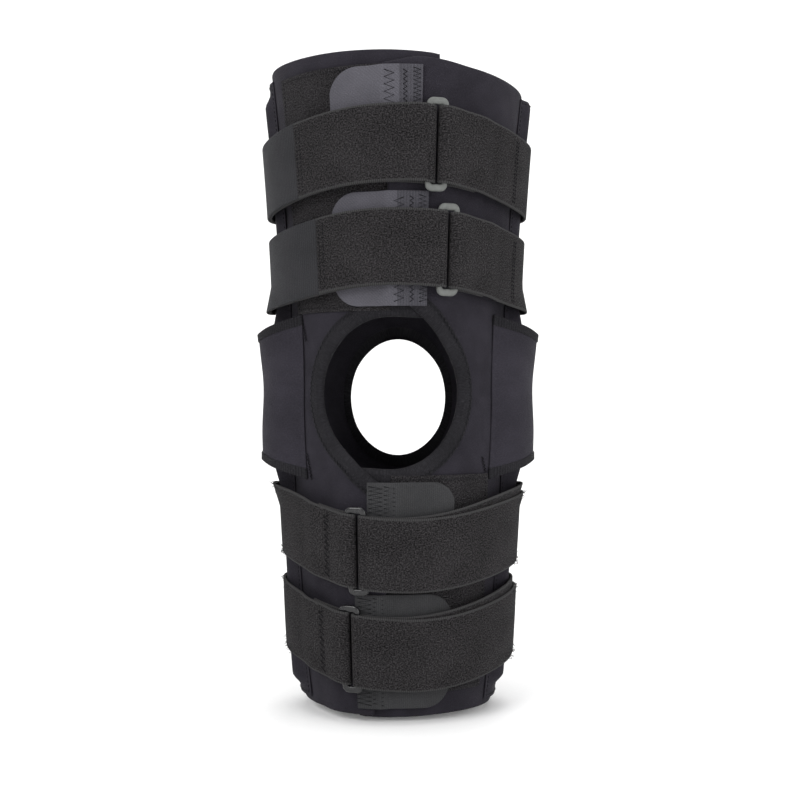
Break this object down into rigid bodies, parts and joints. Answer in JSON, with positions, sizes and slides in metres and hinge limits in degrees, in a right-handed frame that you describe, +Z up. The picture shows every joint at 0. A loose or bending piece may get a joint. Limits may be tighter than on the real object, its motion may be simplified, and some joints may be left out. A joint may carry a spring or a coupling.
{
  "type": "hinged knee brace",
  "caption": "Wraparound neoprene knee brace, closed as on a leg, with geared side hinges, an open kneecap, front hook closures and loop straps through rings.",
  "frame": {"origin": "centre of the leg channel at knee height, midway between the two side hinges and between each hinge's two pivots", "axes": "+Z up along the leg towards the thigh, -Y towards the front of the knee, +X towards the side where the thigh straps' rings are"},
  "size_m": [0.1782, 0.1757, 0.4],
  "materials": {
    "neoprene": "fine smooth knit laminated on neoprene",
    "hinge_cover_fabric": "fine smooth knit over padding",
    "arm_pocket_fabric": "fine smooth knit",
    "loop_pile": "brushed loop pile",
    "strap_pile": "brushed loop pile with woven edges",
    "thigh_hook_webbing": "ribbed woven hook tape",
    "calf_hook_webbing": "ribbed woven hook tape",
    "strap_hook_end": "ribbed woven hook tape",
    "binding_tape": "woven tape, zigzag stitched",
    "thigh_ring_plastic": "satin",
    "calf_ring_plastic": "glossy",
    "arm_alloy": "brushed",
    "hinge_plate_alloy": "satin",
    "pin_steel": "plain",
    "bearing_liner": "smooth",
    "condyle_foam": "soft closed-cell foam"
  },
  "bodies": {
    "thigh": {"thigh_wrap": "neoprene", "thigh_loop_patch": "loop_pile", "thigh_hook_tab_upper": "thigh_hook_webbing", "thigh_hook_tab_lower": "thigh_hook_webbing", "thigh_arm_pocket_left": "arm_pocket_fabric", "thigh_arm_pocket_right": "arm_pocket_fabric", "femoral_arm_left": "arm_alloy", "femoral_arm_right": "arm_alloy", "thigh_strap_keepers": "binding_tape", "upper_thigh_strap": "strap_pile", "upper_thigh_ring": "thigh_ring_plastic", "upper_thigh_chape": "strap_pile", "lower_thigh_strap": "strap_pile", "lower_thigh_ring": "thigh_ring_plastic", "lower_thigh_chape": "strap_pile"},
    "hinge_plates": {"knee_panel": "neoprene", "patella_binding_left": "binding_tape", "patella_binding_right": "binding_tape", "popliteal_binding": "binding_tape", "hinge_cover_left": "hinge_cover_fabric", "hinge_cover_right": "hinge_cover_fabric", "condyle_pad_left": "condyle_foam", "condyle_pad_right": "condyle_foam", "inner_plate_left": "hinge_plate_alloy", "inner_plate_right": "hinge_plate_alloy", "outer_plate_left": "hinge_plate_alloy", "outer_plate_right": "hinge_plate_alloy", "hinge_liners_left": "bearing_liner", "hinge_liners_right": "bearing_liner", "pivot_pins_left": "pin_steel", "pivot_pins_right": "pin_steel", "stop_pins_left": "pin_steel", "stop_pins_right": "pin_steel"},
    "calf": {"calf_wrap": "neoprene", "calf_loop_patch": "loop_pile", "calf_hook_tab_upper": "calf_hook_webbing", "calf_hook_tab_lower": "calf_hook_webbing", "calf_arm_pocket_left": "arm_pocket_fabric", "calf_arm_pocket_right": "arm_pocket_fabric", "tibial_arm_left": "arm_alloy", "tibial_arm_right": "arm_alloy", "calf_strap_keepers": "binding_tape", "upper_calf_strap": "strap_pile", "upper_calf_ring": "calf_ring_plastic", "upper_calf_chape": "strap_pile", "lower_calf_strap": "strap_pile", "lower_calf_ring": "calf_ring_plastic", "lower_calf_chape": "strap_pile"},
    "upper_thigh_tail": {"upper_thigh_tail": "strap_pile", "upper_thigh_hook_end": "strap_hook_end"},
    "lower_thigh_tail": {"lower_thigh_tail": "strap_pile", "lower_thigh_hook_end": "strap_hook_end"},
    "upper_calf_tail": {"upper_calf_tail": "strap_pile", "upper_calf_hook_end": "strap_hook_end"},
    "lower_calf_tail": {"lower_calf_tail": "strap_pile", "lower_calf_hook_end": "strap_hook_end"}
  },
  "joints": [
    {"name": "upper_pivot", "type": "hinge", "parent": "thigh", "child": "hinge_plates", "pos_m": [0, 0, 0.013], "axis": [1, 0, 0], "range_deg": [0, 45], "deforming": ["knee_panel", "patella_binding_left", "patella_binding_right", "popliteal_binding", "hinge_cover_left", "hinge_cover_right"]},
    {"name": "lower_pivot", "type": "hinge", "parent": "hinge_plates", "child": "calf", "pos_m": [0, 0, -0.013], "axis": [1, 0, 0], "range_deg": [0, 45]},
    {"name": "upper_thigh_tail_peel", "type": "hinge", "parent": "thigh", "child": "upper_thigh_tail", "pos_m": [0.01329, -0.09223, 0.14762], "axis": [0.0137, -0.0793, 0.9968], "range_deg": [0, 75]},
    {"name": "lower_thigh_tail_peel", "type": "hinge", "parent": "thigh", "child": "lower_thigh_tail", "pos_m": [0.02043, -0.08633, 0.08727], "axis": [0.0162, -0.0611, 0.998], "range_deg": [0, 75]},
    {"name": "upper_calf_tail_peel", "type": "hinge", "parent": "calf", "child": "upper_calf_tail", "pos_m": [-0.01457, -0.07587, -0.09358], "axis": [0.0053, 0.1457, -0.9893], "range_deg": [0, 75]},
    {"name": "lower_calf_tail_peel", "type": "hinge", "parent": "calf", "child": "lower_calf_tail", "pos_m": [-0.01874, -0.06627, -0.1541], "axis": [0.0157, 0.1255, -0.992], "range_deg": [0, 75]}
  ],
  "couplings": [
    {"joint": "lower_pivot", "follows": "upper_pivot", "ratio": 1}
  ]
}
